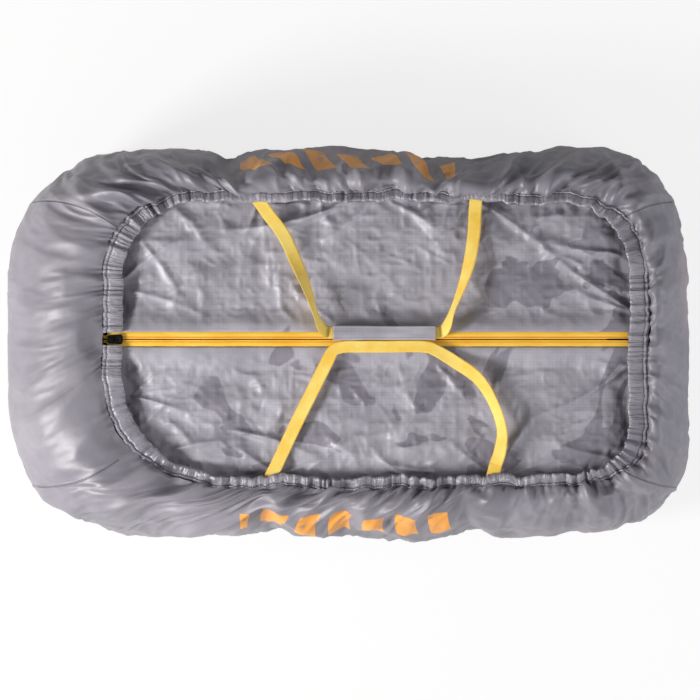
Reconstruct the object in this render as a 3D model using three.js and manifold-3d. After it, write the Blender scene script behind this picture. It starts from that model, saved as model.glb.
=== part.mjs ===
// A soft compression sack lying on its back: a sewn shell of base and walls, a gathered elastic hem
// round the mouth, a ripstop top closed by a full-length zip, and two webbing carry loops.
// Millimetres, +Z up. The origin is on the floor under the middle of the sack. +X runs along the zip
// away from the closed slider, +Y towards the back wall.
import * as THREE from "three";
import { mergeVertices } from "three/addons/utils/BufferGeometryUtils.js";
import Module from "manifold-3d";

const wasm = await Module();
wasm.setup();

// ---- Driving dimensions ----
const length = 900; // over the two end walls
const width = 520; // over the front and back walls
const wallCloth = 1.2; // shell fabric with its coating and stuffing's skin
const panelCloth = 1.2; // ripstop top
const baseCloth = 2; // doubled base
const seamGap = 0.4; // between two pieces that are sewn together
const widestHeight = 100; // where the walls bulge most
const panelTop = 226; // upper face of the ripstop top
const shellTop = 236; // crest of the shell outside the hem

const mouth = { x: [-296, 370], y: [-173, 187], r: [140, 70, 90, 100] }; // edge of the hem
const hemWidth = 26; // from the hem's edge to its stitching
const elasticWidth = 18;
const elasticThick = 1.6;

const zipY = 6; // centre line of the zip
const tapeWidth = 15; // each tape
const tapeThick = 0.8;
const tapeShows = 10; // how much of each tape the ripstop leaves in sight
const coilWidth = 2.2;
const coilHeight = 2;
const chainGap = 1.6; // between the two coils, for the slider's post

const flapEnds = [-250, 325]; // where the liftable half of the top starts and ends
const flapInset = 6; // from the hem's edge to the fold that a flap lifts about
const flapCorners = [110, 70, 70, 70];
const flapGap = 0.6;

const webbingWidth = 17;
const webbingThick = 1.5;
const webbingLift = 0.4; // webbing lies this far above the ripstop
const loopInset = 8; // from a flap's fold to the crease that its loop swings about
const backFeet = [-106, 168]; // where the back loop's legs cross its crease
const frontFeet = [-93, 195];
const grip = [-20, 117]; // the stretch held in the hand
const anchorLength = 20;
const creaseGap = 1.4; // from a crease to the strap root, so that the loop's edge can turn
const foldGap = 2.4; // from a fold to the sewn strap end, so that the strap root can turn

const sliderRest = -309; // middle of the closed slider
const sliderLength = 16;
const sliderWidth = 12.4;
const plateThick = 1.6;
const bridge = { x: [-7, 0.5], width: 3.2, bar: 1.4, height: 3.6 }; // from the slider's middle
const slideClear = 0.6; // between the passing slider and the loops
const pull = { pin: 0.7, arm: 6.4, paddle: 9, width: 13, thick: 1.4, hole: 1.7, armWidth: 1.6 };

// ---- Heights and places that follow ----
const panelBottom = panelTop - panelCloth;
const tapeTop = panelBottom - 0.3;
const coilTop = tapeTop - tapeThick - 0.3;
const webbingBottom = panelTop + webbingLift;
const hemBottom = webbingBottom + webbingThick + 0.4;
const hemHeight = elasticThick + 2 * (wallCloth + seamGap);
const flap = {
  x: flapEnds,
  y: [mouth.y[0] + flapInset, mouth.y[1] - flapInset],
  r: flapCorners,
};
const backCrease = flap.y[1] - loopInset;
const frontCrease = flap.y[0] + loopInset;
const zipHead = mouth.x[0] - hemWidth; // the zip ends at the hem's stitching
const zipTail = mouth.x[1] + hemWidth - 8;

// ---- Outlines ----
// A frame is a rounded rectangle: its x and y limits, and a radius for each corner, from the one at
// low x and low y anticlockwise.
function grown(frame, by) {
  return {
    x: [frame.x[0] - by, frame.x[1] + by],
    y: [frame.y[0] - by, frame.y[1] + by],
    r: frame.r.map((radius) => radius + by),
  };
}

// One corner of a frame: its centre, its radius and the angle at which its arc starts.
function cornerOf(frame, k) {
  const right = k === 1 || k === 2;
  const back = k >= 2;
  const radius = frame.r[k];
  const x = right ? frame.x[1] - radius : frame.x[0] + radius;
  const y = back ? frame.y[1] - radius : frame.y[0] + radius;
  return { x, y, radius, start: Math.PI + (k * Math.PI) / 2 };
}

function shapeOf(frame) {
  const shape = new THREE.Shape();
  for (let k = 0; k < 4; k++) {
    const c = cornerOf(frame, k);
    shape.absarc(c.x, c.y, c.radius, c.start, c.start + Math.PI / 2, false);
  }
  shape.closePath();
  return shape;
}

// Points along an arc, both ends included.
function arcPoints(c, from, to, steps) {
  const points = [];
  for (let i = 0; i <= steps; i++) {
    const a = c.start + from + ((to - from) * i) / steps;
    const out = new THREE.Vector2(Math.cos(a), Math.sin(a));
    points.push({ at: new THREE.Vector2(c.x, c.y).addScaledVector(out, c.radius), out });
  }
  return points;
}

// The stretch of a frame from the middle of corner k to the middle of the next one.
function sidePoints(frame, k, cut = 0) {
  const quarter = Math.PI / 4;
  const a = cornerOf(frame, k);
  const b = cornerOf(frame, (k + 1) % 4);
  const first = arcPoints(a, quarter + cut / a.radius, 2 * quarter, 6);
  const last = arcPoints(b, 0, quarter - cut / b.radius, 6);
  const from = first[6];
  const to = last[0];
  const between = [1, 2, 3].map((i) => ({
    at: from.at.clone().lerp(to.at, i / 4),
    out: from.out.clone(),
  }));
  return [...first, ...between, ...last];
}

function ringPoints(frame) {
  return [0, 1, 2, 3].flatMap((k) => sidePoints(frame, k).slice(0, -1));
}

// ---- Solids ----
function build(points, faces) {
  const geometry = new THREE.BufferGeometry();
  geometry.setAttribute("position", new THREE.Float32BufferAttribute(points.flat(), 3));
  geometry.setIndex(faces.flat());
  return geometry;
}

function toManifold(geometry) {
  const bare = geometry.index ? geometry.toNonIndexed() : geometry.clone();
  bare.deleteAttribute("normal");
  bare.deleteAttribute("uv");
  const merged = mergeVertices(bare, 1e-3);
  return new wasm.Manifold(
    new wasm.Mesh({
      numProp: 3,
      vertProperties: new Float32Array(merged.attributes.position.array),
      triVerts: new Uint32Array(merged.index.array),
    }),
  );
}

function toGeometry(manifold) {
  const mesh = manifold.getMesh();
  const geometry = new THREE.BufferGeometry();
  geometry.setAttribute("position", new THREE.BufferAttribute(mesh.vertProperties, 3));
  geometry.setIndex(new THREE.BufferAttribute(mesh.triVerts, 1));
  return geometry;
}

function joined(...pieces) {
  return toGeometry(pieces.map(toManifold).reduce((a, b) => a.add(b)));
}

function cut(piece, ...tools) {
  return toGeometry(tools.map(toManifold).reduce((a, b) => a.subtract(b), toManifold(piece)));
}

function box(x, y, z) {
  const g = new THREE.BoxGeometry(x[1] - x[0], y[1] - y[0], z[1] - z[0]);
  return g.translate((x[0] + x[1]) / 2, (y[0] + y[1]) / 2, (z[0] + z[1]) / 2);
}

function plate(shape, z) {
  const depth = z[1] - z[0];
  const g = new THREE.ExtrudeGeometry(shape, { depth, bevelEnabled: false, curveSegments: 8 });
  return g.translate(0, 0, z[0]);
}

// A closed strip: every row is a loop of points, and the rows are joined one after another. With
// ring set the last row meets the first, and otherwise both ends are capped.
function skin(rows, ring) {
  const n = rows[0].length;
  const count = rows.length;
  const faces = [];
  for (let i = 0; i < (ring ? count : count - 1); i++) {
    const a = i * n;
    const b = ((i + 1) % count) * n;
    for (let j = 0; j < n; j++) {
      const k = (j + 1) % n;
      faces.push([a + j, b + j, b + k], [a + j, b + k, a + k]);
    }
  }
  if (!ring) {
    for (let j = 1; j < n - 1; j++) {
      const end = (count - 1) * n;
      faces.push([0, j, j + 1], [end, end + j + 1, end + j]);
    }
  }
  return build(rows.flat(), faces);
}

// A curved sheet of cloth: a grid of points on its outer face, thickened inwards.
function sheet(grid, thick) {
  const rows = grid.length;
  const columns = grid[0].length;
  const at = (i, j) => {
    const row = grid[Math.min(Math.max(i, 0), rows - 1)];
    return row[Math.min(Math.max(j, 0), columns - 1)];
  };
  const inner = grid.map((row, i) =>
    row.map((p, j) => {
      const along = at(i, j + 1).clone().sub(at(i, j - 1));
      const up = at(i + 1, j).clone().sub(at(i - 1, j));
      return p.clone().addScaledVector(along.cross(up).normalize(), -thick);
    }),
  );
  const loops = grid.map((row, i) => [...row, ...inner[i].slice().reverse()]);
  const faces = [];
  const n = 2 * columns;
  for (let i = 0; i < rows - 1; i++) {
    for (let j = 0; j < n; j++) {
      const k = (j + 1) % n;
      const a = i * n;
      faces.push([a + j, a + k, a + n + k], [a + j, a + n + k, a + n + j]);
    }
  }
  for (let j = 0; j < columns - 1; j++) {
    const k = n - 1 - j;
    const end = (rows - 1) * n;
    faces.push([j, k, k - 1], [j, k - 1, j + 1]);
    faces.push([end + j, end + k - 1, end + k], [end + j, end + j + 1, end + k - 1]);
  }
  return build(loops.flat().map((p) => p.toArray()), faces);
}

// Flat webbing along a line of points. A point's turn is how far the webbing stands up on its edge.
function webbing(points, thick = webbingThick) {
  const path = new THREE.CatmullRomCurve3(points.map((p) => new THREE.Vector3(...p.at)));
  const steps = 4 * (points.length - 1);
  const rows = [];
  for (let i = 0; i <= steps; i++) {
    const t = i / steps;
    const whole = Math.min(Math.floor(t * (points.length - 1)), points.length - 2);
    const share = t * (points.length - 1) - whole;
    const mix = (key) => points[whole][key] * (1 - share) + points[whole + 1][key] * share;
    const place = path.getPoint(t);
    const ahead = path.getTangent(t);
    const flat = new THREE.Vector3(-ahead.y, ahead.x, 0).normalize();
    // Both ends are cut parallel to the crease, which runs along X.
    if (i % steps === 0) flat.set(Math.sign(flat.x), 0, 0);
    const across = flat.applyAxisAngle(ahead, mix("turn")).multiplyScalar(mix("wide") / 2);
    const through = across.clone().cross(ahead).normalize().multiplyScalar(thick / 2);
    rows.push(
      [[1, 1], [-1, 1], [-1, -1], [1, -1]].map(([a, b]) =>
        place.clone().addScaledVector(across, a).addScaledVector(through, b).toArray(),
      ),
    );
  }
  return skin(rows, false);
}

// ---- Materials ----
function material(color, roughness, metalness = 0) {
  return new THREE.MeshStandardMaterial({ color, roughness, metalness });
}
const greyCloth = material(0x8d8a92, 0.45);
const ripstop = material(0xa09ea7, 0.5);
const hemCloth = material(0x96939c, 0.45);
const amberTape = material(0xf0ae30, 0.6);
const yellowWebbing = material(0xf7cf55, 0.6);
const blackMetal = material(0x16161a, 0.35, 0.6);
const whiteElastic = material(0xd8d8d4, 0.8);
const darkHook = material(0x4a4a50, 0.9);

const sack = new THREE.Group();
function add(name, geometry, finish) {
  const mesh = new THREE.Mesh(geometry, finish);
  mesh.name = name;
  sack.add(mesh);
}

// ---- Shell ----
// The wall's outer face, from the base to the hem: a height, how far the ends and the sides stand in
// from the overall size, and how much of the way the plan has turned into that of the mouth.
const hemEdge = grown(mouth, hemWidth + seamGap);
const bulgeCorners = [140, 120, 115, 175];
const panelSeam = { inset: 15, blend: 0.29 }; // the wall stands upright where the top is sewn in
const levels = [
  { z: 0.6, inset: 54, blend: 0 },
  { z: 14, inset: 29, blend: 0 },
  { z: 50, inset: 8, blend: 0 },
  { z: widestHeight, inset: 0, blend: 0 },
  { z: 150, inset: 3, blend: 0 },
  { z: 190, inset: 9, blend: 0.08 },
  { z: panelBottom - 3, ...panelSeam },
  { z: panelTop + 3, ...panelSeam },
  { z: shellTop - 3, inset: 17, blend: 0.52 },
  { z: shellTop, inset: 13, blend: 0.78 },
  { z: hemBottom + hemHeight / 2, inset: 0, blend: 1 },
];

function levelFrame({ inset, blend }) {
  const hull = {
    x: [-length / 2 + inset, length / 2 - inset],
    y: [-width / 2 + inset, width / 2 - inset],
    r: bulgeCorners.map((radius) => radius - 0.6 * inset),
  };
  const mix = (a, b) => a.map((value, i) => value * (1 - blend) + b[i] * blend);
  return { x: mix(hull.x, hemEdge.x), y: mix(hull.y, hemEdge.y), r: mix(hull.r, hemEdge.r) };
}

const baseFrame = grown(levelFrame(levels[0]), -wallCloth);
add("base_panel", plate(shapeOf(baseFrame), [0, baseCloth]), greyCloth);

["front_wall", "right_end_wall", "back_wall", "left_end_wall"].forEach((name, k) => {
  const grid = levels.map((level) =>
    sidePoints(levelFrame(level), k, seamGap / 2).map(
      (p) => new THREE.Vector3(p.at.x, p.at.y, level.z),
    ),
  );
  add(name, sheet(grid, wallCloth), greyCloth);
});

// ---- Hem ----
// A ring of one section round the mouth: each point of the section is a distance out and a height.
function mouthRing(section) {
  const rows = ringPoints(mouth).map(({ at, out }) =>
    section.map(([u, z]) => [at.x + out.x * u, at.y + out.y * u, z]),
  );
  return skin(rows, true);
}

const hemTop = hemBottom + hemHeight;
const hemMiddle = hemBottom + hemHeight / 2;
const foldIn = 2.4; // the folded edge is rounded over this far
const casing = mouthRing([
  [hemWidth, hemTop],
  [foldIn, hemTop],
  [0, hemMiddle],
  [foldIn, hemBottom],
  [hemWidth, hemBottom],
  [hemWidth, hemBottom + wallCloth],
  [foldIn + wallCloth, hemBottom + wallCloth],
  [foldIn, hemMiddle],
  [foldIn + wallCloth, hemTop - wallCloth],
  [hemWidth, hemTop - wallCloth],
]);
// The zip crosses the hem at the head, so the casing and its elastic stop on each side of it.
const notchHalf = pull.width / 2 + slideClear;
function zipNotch(half) {
  return box(
    [mouth.x[0] - hemWidth - 1, mouth.x[0] + 40],
    [zipY - half, zipY + half],
    [hemBottom - 1, hemTop + 1],
  );
}
add("hem_casing", cut(casing, zipNotch(notchHalf)), hemCloth);

const elasticIn = foldIn + wallCloth + seamGap;
const elasticBottom = hemMiddle - elasticThick / 2;
const elastic = mouthRing([
  [elasticIn + elasticWidth, elasticBottom + elasticThick],
  [elasticIn, elasticBottom + elasticThick],
  [elasticIn, elasticBottom],
  [elasticIn + elasticWidth, elasticBottom],
]);
add("hem_elastic", cut(elastic, zipNotch(notchHalf + 1)), whiteElastic);

// ---- Ripstop top ----
// The border stays still under the hem. It is cut away for the two flaps and along the zip.
const borderInset = wallCloth + seamGap;
const borderFrame = grown(levelFrame(panelSeam), -borderInset);
const panelLayer = [panelBottom, panelTop];
const through = [panelBottom - 1, panelTop + 1];
const slotX = [zipHead - seamGap, zipTail + seamGap];
add(
  "top_border",
  cut(
    plate(shapeOf(borderFrame), panelLayer),
    plate(shapeOf(grown(flap, flapGap)), through),
    box(slotX, [zipY - tapeShows, zipY + tapeShows], through),
  ),
  ripstop,
);

const flapWhole = plate(shapeOf(flap), panelLayer);
const far = width;
function half(name, side) {
  const spare = side > 0 ? [-far, zipY + tapeShows] : [zipY - tapeShows, far];
  add(`${name}_flap_panel`, cut(flapWhole, box([-length, length], spare, through)), ripstop);
}
half("back", 1);
half("front", -1);

// ---- Zip ----
// A stretch of tape and one of coil on one side of the centre line.
function tape(side, x) {
  const y = [chainGap / 2, tapeWidth].map((d) => zipY + side * d).sort((a, b) => a - b);
  return box(x, y, [tapeTop - tapeThick, tapeTop]);
}
function coil(side, x) {
  const y = [chainGap / 2, chainGap / 2 + coilWidth].map((d) => zipY + side * d);
  const z = [coilTop - coilHeight, coilTop];
  const shape = new THREE.Shape();
  shape.moveTo(y[0], z[1]);
  shape.lineTo(y[1], z[1]);
  shape.lineTo(y[1], z[0] + 0.6);
  shape.lineTo(y[1] - side * 0.6, z[0]);
  shape.lineTo(y[0] + side * 0.6, z[0]);
  shape.lineTo(y[0], z[0] + 0.6);
  shape.closePath();
  const g = new THREE.ExtrudeGeometry(shape, { depth: x[1] - x[0], bevelEnabled: false });
  // The section is drawn in Y and Z, so the extrusion is turned to run along X.
  const turn = new THREE.Matrix4().makeBasis(
    new THREE.Vector3(0, 1, 0),
    new THREE.Vector3(0, 0, 1),
    new THREE.Vector3(1, 0, 0),
  );
  return g.applyMatrix4(turn).translate(x[0], 0, 0);
}

const stopLength = 2.4;
const flapSpan = [flapEnds[0] + seamGap, flapEnds[1] - seamGap];
const headSpan = [zipHead, flapEnds[0]];
const tailSpan = [flapEnds[1], zipTail];
for (const [name, side] of [["back", 1], ["front", -1]]) {
  add(`${name}_zip_tape`, tape(side, flapSpan), amberTape);
  add(`${name}_zip_coil`, coil(side, flapSpan), amberTape);
  add(`${name}_tape_head`, tape(side, headSpan), amberTape);
  add(`${name}_coil_head`, coil(side, [headSpan[0] + stopLength + seamGap, headSpan[1]]), amberTape);
  add(`${name}_top_stop`, coil(side, [headSpan[0], headSpan[0] + stopLength]), amberTape);
  add(`${name}_tape_tail`, tape(side, tailSpan), amberTape);
  add(`${name}_coil_tail`, coil(side, [tailSpan[0], tailSpan[1] - stopLength - seamGap]), amberTape);
}
const stopHalf = chainGap / 2 + coilWidth;
add(
  "bottom_stop",
  box(
    [tailSpan[1] - stopLength, tailSpan[1]],
    [zipY - stopHalf, zipY + stopHalf],
    [coilTop - coilHeight, coilTop],
  ),
  amberTape,
);

// ---- Slider and pull ----
const plateBottom = tapeTop + 0.3;
const plateTop = plateBottom + plateThick;
const underTop = coilTop - coilHeight - 0.3;
const sliderX = [sliderRest - sliderLength / 2, sliderRest + sliderLength / 2];

function sliderPlate(taper) {
  const halfWidth = sliderWidth / 2;
  const shape = new THREE.Shape();
  shape.moveTo(sliderX[0] + 2, -halfWidth + taper);
  shape.lineTo(sliderX[1] - 3, -halfWidth);
  shape.quadraticCurveTo(sliderX[1], -halfWidth, sliderX[1], -halfWidth + 3);
  shape.lineTo(sliderX[1], halfWidth - 3);
  shape.quadraticCurveTo(sliderX[1], halfWidth, sliderX[1] - 3, halfWidth);
  shape.lineTo(sliderX[0] + 2, halfWidth - taper);
  shape.quadraticCurveTo(sliderX[0], 0, sliderX[0] + 2, -halfWidth + taper);
  return shape;
}
const post = box([sliderX[1] - 5, sliderX[1] - 2], [zipY - 0.5, zipY + 0.5], [underTop - 1, plateBottom + 1]);
const bridgeX = bridge.x.map((x) => sliderRest + x);
const bridgeTop = plateTop + bridge.height;
const bridgeY = [zipY - bridge.width / 2, zipY + bridge.width / 2];
const arch = cut(
  box(bridgeX, bridgeY, [plateTop - 0.2, bridgeTop]),
  box(
    [bridgeX[0] + bridge.bar, bridgeX[1] - bridge.bar],
    [zipY - far, zipY + far],
    [plateTop, bridgeTop - bridge.bar],
  ),
);
add(
  "slider_body",
  joined(
    plate(sliderPlate(1), [plateBottom, plateTop]).translate(0, zipY, 0),
    plate(sliderPlate(2), [underTop - plateThick, underTop]).translate(0, zipY, 0),
    post,
    arch,
  ),
  blackMetal,
);

// The pull lies towards +X. Its pin passes under the bridge, where it turns about Y.
const pivotX = bridgeX[1] - bridge.bar - pull.pin - 0.3;
const pivotZ = plateTop + 0.3 + pull.thick / 2;
function pullShape() {
  const w = pull.width / 2;
  const start = pull.arm;
  const end = pull.arm + pull.paddle;
  const shape = new THREE.Shape();
  shape.moveTo(start, -w + 1.5);
  shape.quadraticCurveTo(start, -w, start + 2, -w);
  shape.lineTo(end - 3.5, -w);
  shape.quadraticCurveTo(end, -w, end, 0);
  shape.quadraticCurveTo(end, w, end - 3.5, w);
  shape.lineTo(start + 2, w);
  shape.quadraticCurveTo(start, w, start, w - 1.5);
  shape.closePath();
  const hole = new THREE.Path();
  hole.absarc(start + pull.paddle / 2, 0, pull.hole, 0, 2 * Math.PI, true);
  shape.holes.push(hole);
  return shape;
}
const armIn = bridge.width / 2 + 0.6;
const pullLayer = [-pull.thick / 2, pull.thick / 2];
const arms = [-1, 1].map((side) => {
  const y = [side * armIn, side * (armIn + pull.armWidth)].sort((a, b) => a - b);
  return box([-pull.pin, pull.arm + 1], y, pullLayer);
});
const pin = new THREE.CylinderGeometry(pull.pin, pull.pin, 2 * armIn + 1, 12);
add(
  "pull_tab",
  joined(plate(pullShape(), pullLayer), ...arms, pin).translate(pivotX, zipY, pivotZ),
  blackMetal,
);

// ---- Carry loops ----
// The loops arch over the zip, high enough for the closed pull and the slider to pass under them.
const flatZ = webbingBottom + webbingThick / 2;
const archBottom = bridgeTop + slideClear;
const wrapSkin = 0.8;
const wrapGap = 0.3;
const heldZ = archBottom + wrapSkin + wrapGap + webbingThick / 2;
const frontHeldZ = archBottom + webbingThick / 2;
// A point on a loop: its place in plan, its height, and the turn that stands the webbing on edge.
function knot(x, y, z, degrees = 0, wide = webbingWidth) {
  const turn = THREE.MathUtils.degToRad(degrees);
  const lift = (wide / 2) * Math.abs(Math.sin(turn));
  return { at: [x, y, z + lift], turn, wide };
}

const gripMiddle = (grip[0] + grip[1]) / 2;
const gripWide = 15.6; // the webbing is pulled a little narrower in the hand
const backGripY = 15;
const frontGripY = -4;

// Back loop: both legs stand up on edge where they turn into the grip wrap.
add(
  "back_loop_webbing",
  webbing([
    knot(backFeet[0], backCrease - 0.5, flatZ),
    knot(-84, 143, flatZ + 1, -6),
    knot(-66, 104, flatZ + 2, -22),
    knot(-52, 70, flatZ + 3, -50),
    knot(-42, 40, heldZ, -66),
    knot(grip[0] - 13, backGripY + 6, heldZ, -40),
    knot(grip[0] - 5, backGripY, heldZ, 0, gripWide),
    knot(grip[0] - 1, backGripY, heldZ, 0, gripWide),
    knot(grip[0] + 12, backGripY, heldZ, 0, gripWide),
    knot(gripMiddle, backGripY, heldZ, 0, gripWide),
    knot(grip[1] - 12, backGripY, heldZ, 0, gripWide),
    knot(grip[1] + 1, backGripY, heldZ, 0, gripWide),
    knot(grip[1] + 5, backGripY, heldZ, 0, gripWide),
    knot(grip[1] + 13, backGripY + 8, heldZ, -40),
    knot(138, 44, heldZ, -66),
    knot(150, 74, flatZ + 3, -52),
    knot(160, 106, flatZ + 2, -26),
    knot(166, 142, flatZ + 1, -8),
    knot(backFeet[1], backCrease - 0.5, flatZ),
  ]),
  yellowWebbing,
);

// Front loop: it lies flat, and only its right leg lifts a little where it curves.
add(
  "front_loop_webbing",
  webbing([
    knot(frontFeet[0], frontCrease + 0.5, flatZ),
    knot(-66, -108, flatZ + 1),
    knot(-38, -56, flatZ + 3),
    knot(grip[0] - 1, -24, frontHeldZ),
    knot(grip[0] + 10, frontGripY - 5, frontHeldZ, 0, gripWide),
    knot(grip[0] + 30, frontGripY, frontHeldZ, 0, gripWide),
    knot(gripMiddle, frontGripY, frontHeldZ, 0, gripWide),
    knot(grip[1] - 18, frontGripY, frontHeldZ, 0, gripWide),
    knot(grip[1], frontGripY - 5, frontHeldZ, 0, gripWide),
    knot(142, -24, frontHeldZ - 1, 8),
    knot(172, -46, flatZ + 3, 25),
    knot(192, -78, flatZ + 2, 40),
    knot(203, -112, flatZ + 1, 40),
    knot(201, -140, flatZ, 20),
    knot(frontFeet[1], frontCrease + 0.5, flatZ),
  ]),
  yellowWebbing,
);

// Each leg's root lies flat on its flap between the fold and the crease, and its sewn end lies on
// the border under the hem.
const feet = [
  ["back_left", backFeet[0], 1],
  ["back_right", backFeet[1], 1],
  ["front_left", frontFeet[0], -1],
  ["front_right", frontFeet[1], -1],
];
for (const [name, x, side] of feet) {
  const fold = side > 0 ? flap.y[1] : flap.y[0];
  const across = [x - webbingWidth / 2, x + webbingWidth / 2];
  const layer = [webbingBottom, webbingBottom + webbingThick];
  const strip = (from, to) => {
    const y = [fold - side * from, fold - side * to].sort((a, b) => a - b);
    return box(across, y, layer);
  };
  add(`${name}_strap_root`, strip(0.3, loopInset - creaseGap), yellowWebbing);
  add(`${name}_strap_anchor`, strip(-foldGap - anchorLength, -foldGap), yellowWebbing);
}

// ---- Grip wrap on the back loop ----
// A channel of cloth folded round the webbing, a flap that laps over it from the spine, and a pair
// of hook and loop strips between them.
const wrapX = [grip[0] + 1, grip[1] - 1];
const wrapFront = frontGripY + gripWide / 2 + 0.8;
const channelBack = backGripY + gripWide / 2 + wrapGap;
const channelTop = heldZ + webbingThick / 2 + wrapGap;
const stripThick = 0.8;
const loopBottom = channelTop + wrapSkin + wrapGap;
const hookBottom = loopBottom + stripThick + wrapGap;
const flapBottom = hookBottom + stripThick + wrapGap;
const flapTop = flapBottom + wrapSkin;
const hingeY = channelBack + wrapSkin;
const wrapAcross = [wrapFront, channelBack + wrapSkin];
const lapEnd = channelBack - 3;
add(
  "grip_wrap",
  joined(
    box(wrapX, wrapAcross, [archBottom, archBottom + wrapSkin]),
    box(wrapX, [wrapFront, wrapFront + wrapSkin], [archBottom, channelTop + wrapSkin]),
    box(wrapX, [wrapFront, lapEnd], [channelTop, channelTop + wrapSkin]),
    box(wrapX, [channelBack, hingeY], [archBottom, flapBottom - wrapGap]),
  ),
  ripstop,
);
const stripX = [wrapX[0] + 6, wrapX[1] - 6];
const stripY = [wrapFront + 2, lapEnd - 1];
add("loop_strip", box(stripX, stripY, [loopBottom, loopBottom + stripThick]), darkHook);
add("hook_strip", box(stripX, stripY, [hookBottom, hookBottom + stripThick]), darkHook);
add("grip_flap", box(wrapX, wrapAcross, [flapBottom, flapTop]), ripstop);

export default sack;
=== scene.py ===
# A stuffed compression sack of shiny grey cloth, seen from straight above: gathered elastic hem,
# ripstop top with a yellow zip, and two yellow webbing carry loops. Metres, in the CAD's frame.
import math

import bpy
import numpy as np
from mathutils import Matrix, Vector


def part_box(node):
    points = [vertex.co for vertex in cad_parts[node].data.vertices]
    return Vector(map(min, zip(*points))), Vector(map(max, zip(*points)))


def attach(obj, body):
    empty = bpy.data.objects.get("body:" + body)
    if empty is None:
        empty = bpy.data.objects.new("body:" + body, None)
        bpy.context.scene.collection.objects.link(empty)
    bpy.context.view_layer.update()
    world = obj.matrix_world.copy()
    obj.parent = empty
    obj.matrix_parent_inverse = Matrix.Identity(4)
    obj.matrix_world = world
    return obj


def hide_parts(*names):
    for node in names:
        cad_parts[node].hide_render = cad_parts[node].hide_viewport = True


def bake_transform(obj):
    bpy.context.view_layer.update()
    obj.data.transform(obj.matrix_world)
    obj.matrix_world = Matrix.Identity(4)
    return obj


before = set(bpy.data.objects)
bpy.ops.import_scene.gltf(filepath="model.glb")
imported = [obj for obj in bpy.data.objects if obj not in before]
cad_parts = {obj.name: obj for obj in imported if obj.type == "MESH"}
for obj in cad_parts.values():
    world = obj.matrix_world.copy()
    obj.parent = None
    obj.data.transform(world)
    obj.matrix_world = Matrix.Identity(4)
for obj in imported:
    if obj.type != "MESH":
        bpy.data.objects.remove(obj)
scene = bpy.context.scene
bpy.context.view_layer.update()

# ---- Sizes shared with the CAD part ----
LENGTH, WIDTH = 0.900, 0.520
PANEL_TOP = 0.226
MOUTH = ((-0.296, 0.370), (-0.173, 0.187), (0.140, 0.070, 0.090, 0.100))
HEM_WIDTH = 0.026
BULGE_CORNERS = (0.140, 0.120, 0.115, 0.175)
ZIP_Y = 0.006
BACK_FOLD, FRONT_FOLD = 0.181, -0.167
LOOP_INSET = 0.008
BACK_FEET, FRONT_FEET = (-0.106, 0.168), (-0.093, 0.195)
WEBBING, WEBBING_THICK = 0.017, 0.0015
GRIP = (-0.020, 0.117)


def add_object(name, data):
    made = bpy.data.objects.new(name, data)
    scene.collection.objects.link(made)
    return made


# ---- Camera ----
def make_camera():
    distance = 9.0
    seen = 0.9275  # width of the view at the height of the bulge
    bulge = 0.17
    data = bpy.data.cameras.new("camera")
    data.lens = data.sensor_width * (distance - bulge) / seen
    data.clip_end = 50
    scene.camera = add_object("camera", data)
    scene.camera.location = (0.0033, -0.0080, distance)


# ---- Outlines ----
def grown(outline, by):
    (x0, x1), (y0, y1), radii = outline
    return ((x0 - by, x1 + by), (y0 - by, y1 + by), tuple(r + by for r in radii))


def mixed(a, b, share):
    blend = lambda u, v: tuple(p * (1 - share) + q * share for p, q in zip(u, v))
    return tuple(blend(u, v) for u, v in zip(a, b))


def corner(outline, k):
    xs, ys, radii = outline
    r = radii[k]
    x = xs[1] - r if k in (1, 2) else xs[0] + r
    y = ys[1] - r if k >= 2 else ys[0] + r
    return x, y, r


def stations(outline, step):
    """Places round an outline: (corner, share of its arc) or (side, share of its length)."""
    kinds, ks, shares, run = [], [], [], [0.0]
    for k in range(4):
        r = outline[2][k]
        count = max(4, round(r * math.pi / 2 / step))
        for i in range(count):
            kinds.append(0), ks.append(k), shares.append(i / count)
            run.append(run[-1] + r * math.pi / 2 / count)
        ax, ay, ar = corner(outline, k)
        bx, by, br = corner(outline, (k + 1) % 4)
        a = math.pi + (k + 1) * math.pi / 2
        size = math.dist(
            (ax + ar * math.cos(a), ay + ar * math.sin(a)),
            (bx + br * math.cos(a), by + br * math.sin(a)),
        )
        count = max(4, round(size / step))
        for i in range(count):
            kinds.append(1), ks.append(k), shares.append(i / count)
            run.append(run[-1] + size / count)
    return np.array(kinds), np.array(ks), np.array(shares), np.array(run)


def ring(outline, marks):
    """Plan points and outward directions of an outline at the given stations."""
    kinds, ks, shares, _ = marks
    at = np.zeros((len(ks), 2))
    out = np.zeros((len(ks), 2))
    for k in range(4):
        x, y, r = corner(outline, k)
        arc = (kinds == 0) & (ks == k)
        a = math.pi + k * math.pi / 2 + shares[arc] * math.pi / 2
        out[arc] = np.stack([np.cos(a), np.sin(a)], 1)
        at[arc] = np.array([x, y]) + r * out[arc]
        side = (kinds == 1) & (ks == k)
        bx, by, br = corner(outline, (k + 1) % 4)
        a = math.pi + (k + 1) * math.pi / 2
        way = np.array([math.cos(a), math.sin(a)])
        start, stop = np.array([x, y]) + r * way, np.array([bx, by]) + br * way
        t = shares[side][:, None]
        at[side] = start * (1 - t) + stop * t
        out[side] = way
    return at, out


def smooth_through(values, t):
    """Catmull-Rom through a list of values, with t from 0 to the last one's index."""
    v = np.asarray(values, float)
    v = np.concatenate([[2 * v[0] - v[1]], v, [2 * v[-1] - v[-2]]])
    i = np.clip(np.floor(t).astype(int), 0, len(v) - 4)
    f = (t - i).reshape(t.shape + (1,) * (v.ndim - 1))
    a, b, c, d = v[i], v[i + 1], v[i + 2], v[i + 3]
    square, cube = 2 * a - 5 * b + 4 * c - d, 3 * b - a - 3 * c + d
    return 0.5 * (2 * b + (c - a) * f + square * f**2 + cube * f**3)


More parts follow.
